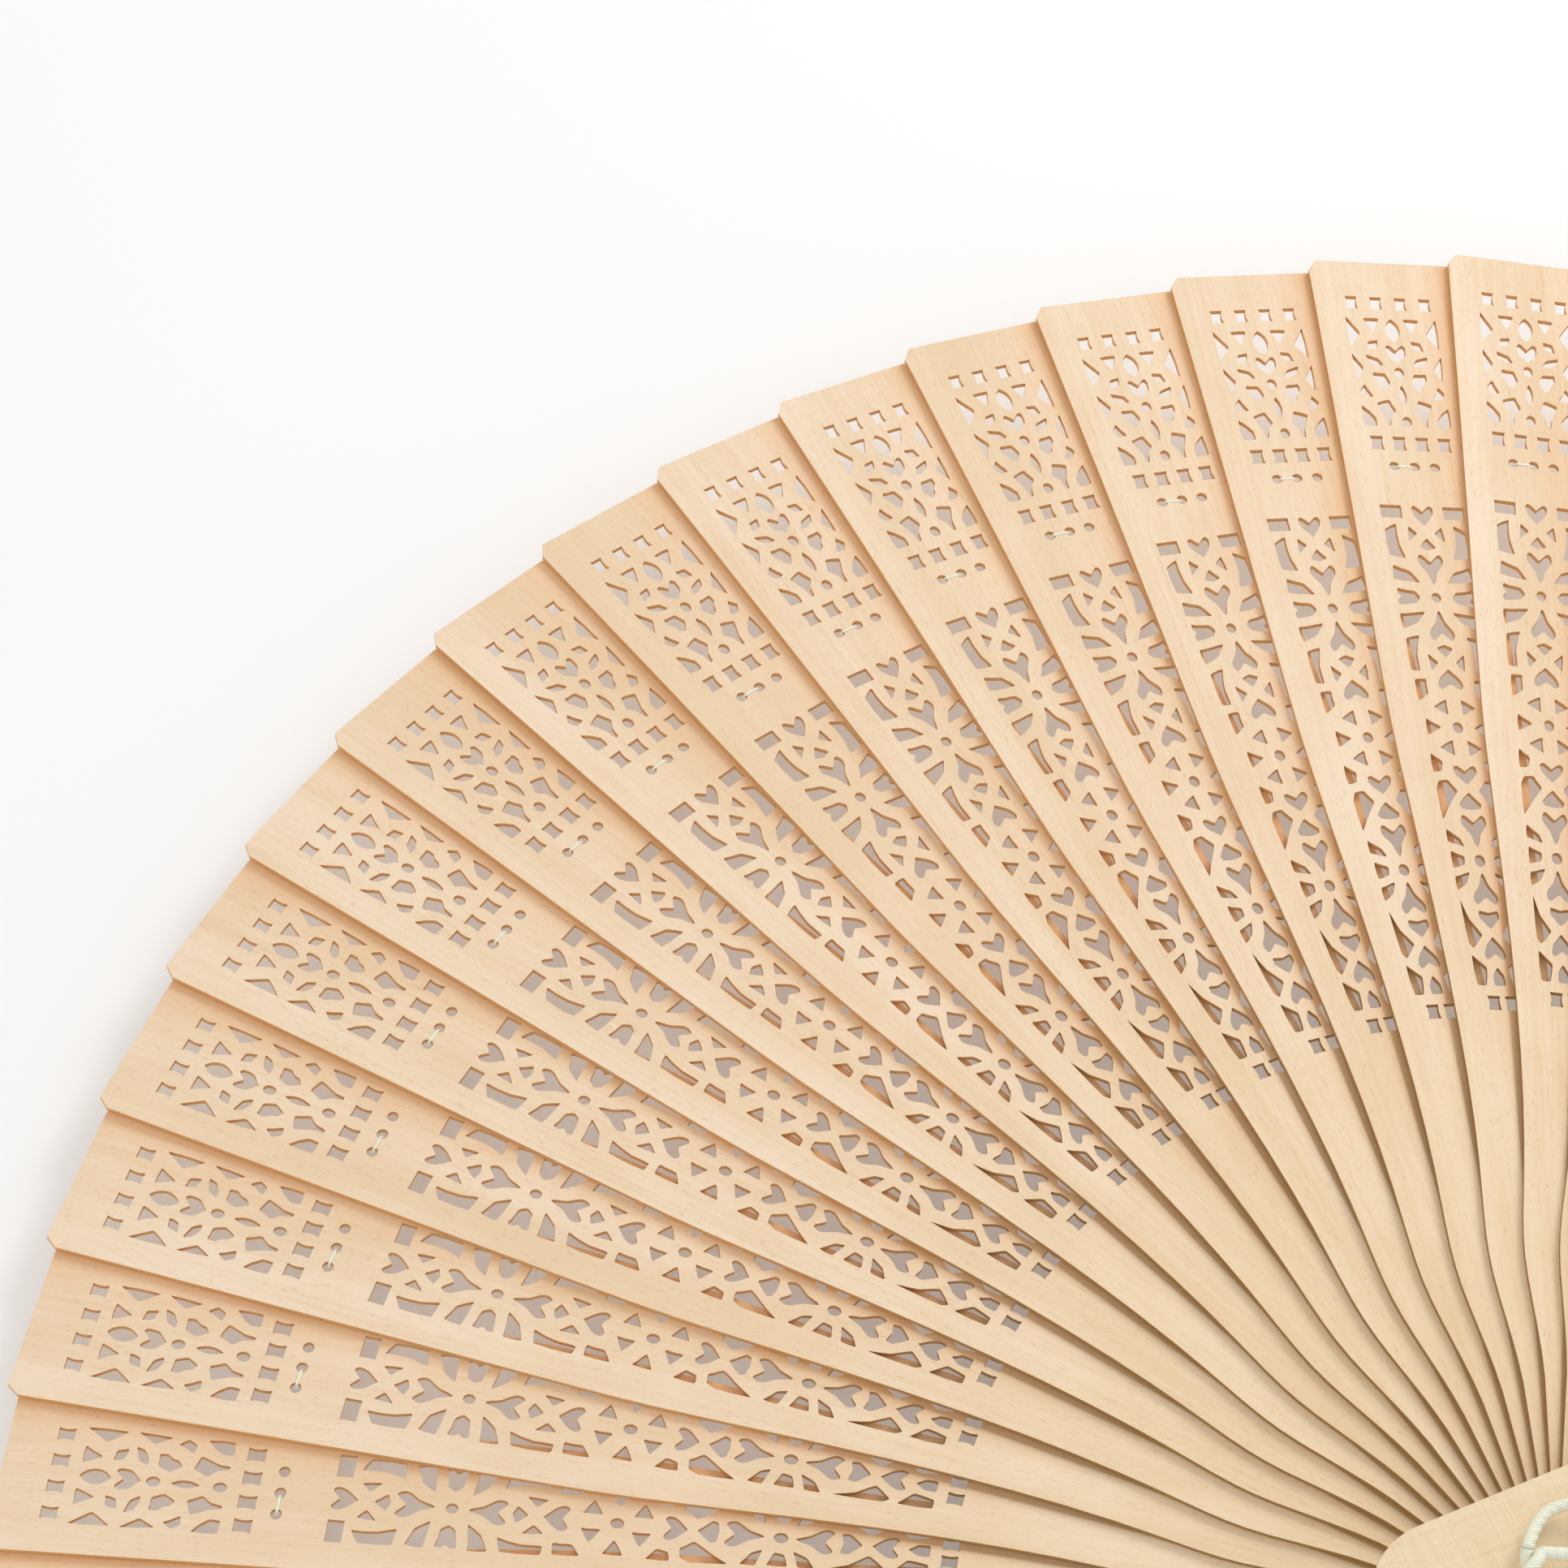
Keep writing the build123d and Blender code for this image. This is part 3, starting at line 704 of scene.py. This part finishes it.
def headTree():
    tree, given, result = newTree("tasselHeadThreads", "GeometryNodeTree", [
        ("Threads", "NodeSocketInt", 40), ("Radius", "NodeSocketFloat", 0.004),
        ("Thread", "NodeSocketFloat", 0.0004), ("Turn", "NodeSocketFloat", 0.8),
        ("Material", "NodeSocketMaterial", None),
    ], [("Geometry", "NodeSocketGeometry")])
    lines, number, share = numberedLines(tree, given["Threads"], 19)
    angle = sums(tree, "DIVIDE", sums(tree, "MULTIPLY", number, 2 * pi), given["Threads"])
    angle = sums(tree, "MULTIPLY_ADD", share, given["Turn"], angle)
    around = sums(tree, "MULTIPLY", sums(tree, "MULTIPLY_ADD", share, 0.86, 0.07), pi)
    ball = sums(tree, "SUBTRACT", given["Radius"], given["Thread"])
    forward = sums(tree, "MULTIPLY", sums(tree, "COSINE", around), sums(tree, "MULTIPLY", ball, -1.0))
    reach = sums(tree, "MULTIPLY", sums(tree, "SINE", around), ball)
    place = vector(tree, forward, sums(tree, "MULTIPLY", sums(tree, "COSINE", angle), reach),
                   sums(tree, "MULTIPLY", sums(tree, "SINE", angle), reach))
    laid = addNode(tree, "GeometryNodeSetPosition", {"Geometry": lines, "Position": place}).outputs[0]
    threads = tubed(tree, laid, 6, given["Thread"])
    coreRadius = sums(tree, "SUBTRACT", ball, sums(tree, "MULTIPLY", given["Thread"], 0.3))
    core = addNode(tree, "GeometryNodeMeshUVSphere", {"Segments": 32, "Rings": 16, "Radius": coreRadius})
    both = addNode(tree, "GeometryNodeJoinGeometry")
    tree.links.new(threads, both.inputs[0])
    tree.links.new(core.outputs[0], both.inputs[0])
    closeTree(tree, result, both.outputs[0], given["Material"])
    return tree


def bindingTree():
    tree, given, result = newTree("tasselBindingTurns", "GeometryNodeTree", [
        ("Radius", "NodeSocketFloat", 0.003), ("Length", "NodeSocketFloat", 0.005),
        ("Thread", "NodeSocketFloat", 0.0003), ("Material", "NodeSocketMaterial", None),
    ], [("Geometry", "NodeSocketGeometry")])
    middle = sums(tree, "SUBTRACT", given["Radius"], given["Thread"])
    height = sums(tree, "SUBTRACT", given["Length"], sums(tree, "MULTIPLY", given["Thread"], 2.0))
    turns = sums(tree, "DIVIDE", height, sums(tree, "MULTIPLY", given["Thread"], 1.9))
    spiral = addNode(tree, "GeometryNodeCurveSpiral", {
        "Resolution": 40, "Rotations": turns, "Start Radius": middle, "End Radius": middle,
        "Height": height}).outputs[0]
    raised = addNode(tree, "GeometryNodeTransform", {
        "Geometry": spiral, "Translation": vector(tree, 0.0, 0.0, given["Thread"])}).outputs[0]
    wound = tubed(tree, raised, 8, given["Thread"])
    core = addNode(tree, "GeometryNodeMeshCylinder",
                   {"Vertices": 40, "Radius": middle, "Depth": given["Length"]})
    core = addNode(tree, "GeometryNodeTransform", {
        "Geometry": core.outputs[0],
        "Translation": vector(tree, 0.0, 0.0, sums(tree, "MULTIPLY", given["Length"], 0.5))}).outputs[0]
    both = addNode(tree, "GeometryNodeJoinGeometry")
    tree.links.new(wound, both.inputs[0])
    tree.links.new(core, both.inputs[0])
    laid = addNode(tree, "GeometryNodeTransform",
                   {"Geometry": both.outputs[0], "Rotation": (0, pi / 2, 0)}).outputs[0]
    closeTree(tree, result, laid, given["Material"])
    return tree


tasselThread = threadMaterial("tasselThread", ply, 1.0, False)
neck = 2 * (tasselSetting["knotRadius"] - tasselSetting["joinOverlap"])


def alongTassel(distance):
    return tasselPlace @ Matrix.Translation((distance, 0, 0))


tasselHead = settled("tasselHead", headTree(), {
    "Threads": tasselSetting["headThreads"], "Radius": tasselSetting["knotRadius"],
    "Thread": tasselSetting["headThread"], "Turn": tasselSetting["headTurn"],
    "Material": tasselThread,
}, alongTassel(neck / 2))
tasselNeck = settled("tasselNeck", bindingTree(), {
    "Radius": tasselSetting["bindingRadius"], "Length": tasselSetting["bindingLength"],
    "Thread": tasselSetting["bindingThread"], "Material": tasselThread,
}, alongTassel(neck))
tasselFringe = settled("tasselFringe", skirtTree(), {
    "Threads": tasselSetting["skirtThreads"], "Length": tasselSetting["skirtLength"],
    "Neck": tasselSetting["bindingRadius"] - 2 * tasselSetting["bindingThread"],
    "Half Width": tasselSetting["skirtHalfWidth"] - tasselSetting["sway"] / 2,
    "Half Height": tasselSetting["skirtHalfHeight"] - tasselSetting["sway"] / 2,
    "Thread": tasselSetting["skirtThread"], "Sway": tasselSetting["sway"],
    "Seed": tasselSetting["seed"], "Material": tasselThread,
}, alongTassel(neck + tasselSetting["bindingLength"]))
softPieces = [
    (twistedCord, "cord"), (cordEye, "cord_loop"), (tasselHead, "tassel_knot"),
    (tasselNeck, "tassel_binding"), (tasselFringe, "tassel_skirt"),
]
for piece, node in softPieces:
    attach(piece, "back_guard")
    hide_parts(node)


stitchSetting = {
    "halfWidth": 0.17 * mm,
    "halfHeight": 0.035 * mm,
    "drop": 0.45 * mm,
}


# one flat stitch between two holes, its ends sunk in them
def stitchTree():
    tree, given, result = newTree("linkingStitch", "GeometryNodeTree", [
        ("Start", "NodeSocketVector", None), ("End", "NodeSocketVector", None),
        ("Half Width", "NodeSocketFloat", 0.0002), ("Half Height", "NodeSocketFloat", 0.00004),
        ("Drop", "NodeSocketFloat", 0.0005), ("Material", "NodeSocketMaterial", None),
    ], [("Geometry", "NodeSocketGeometry")])
    line = addNode(tree, "GeometryNodeCurvePrimitiveLine", {"Start": given["Start"], "End": given["End"]})
    line = addNode(tree, "GeometryNodeResampleCurve", {"Curve": line.outputs[0], "Count": 33}).outputs[0]
    share = addNode(tree, "GeometryNodeSplineParameter").outputs["Factor"]
    fromEnd = sums(tree, "SUBTRACT", 0.5, sums(tree, "ABSOLUTE", sums(tree, "SUBTRACT", share, 0.5)))
    sunk = sums(tree, "SUBTRACT", rising(tree, fromEnd, 0.0, 0.22), 1.0)
    offset = vector(tree, 0.0, 0.0, sums(tree, "MULTIPLY", sunk, given["Drop"]))
    laid = addNode(tree, "GeometryNodeSetPosition", {"Geometry": line, "Offset": offset}).outputs[0]
    flat = addNode(tree, "GeometryNodeSetCurveNormal", {"Curve": laid}, mode="Z_UP").outputs[0]
    ring = addNode(tree, "GeometryNodeCurvePrimitiveCircle", {"Resolution": 10, "Radius": 1.0}).outputs[0]
    ring = addNode(tree, "GeometryNodeTransform", {
        "Geometry": ring, "Scale": vector(tree, given["Half Width"], given["Half Height"], 1.0)}).outputs[0]
    tape = addNode(tree, "GeometryNodeCurveToMesh",
                   {"Curve": flat, "Profile Curve": ring, "Fill Caps": True}).outputs[0]
    closeTree(tree, result, tape, given["Material"])
    return tree


linkingThread = threadMaterial("linkingThread", ply, 3.0, False)
stitch = stitchTree()
for index in range(1, lastStick):
    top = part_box("leaf_%02d" % index)[1].z + stitchSetting["halfHeight"]
    reach = fanSetting["threadReach"]
    farReach = reach + fanSetting["threadSpacing"] * tan(radians(fanSetting["rowSlant"]))
    piece = settled("linkingThread%02d" % index, stitch, {
        "Start": (reach, 0.0, top), "End": (farReach, fanSetting["threadSpacing"], top),
        "Half Width": stitchSetting["halfWidth"], "Half Height": stitchSetting["halfHeight"],
        "Drop": stitchSetting["drop"], "Material": linkingThread,
    }, Matrix.Rotation(stickHeading(index), 4, "Z"))
    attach(piece, "leaf_%02d" % index)
print("linking thread")
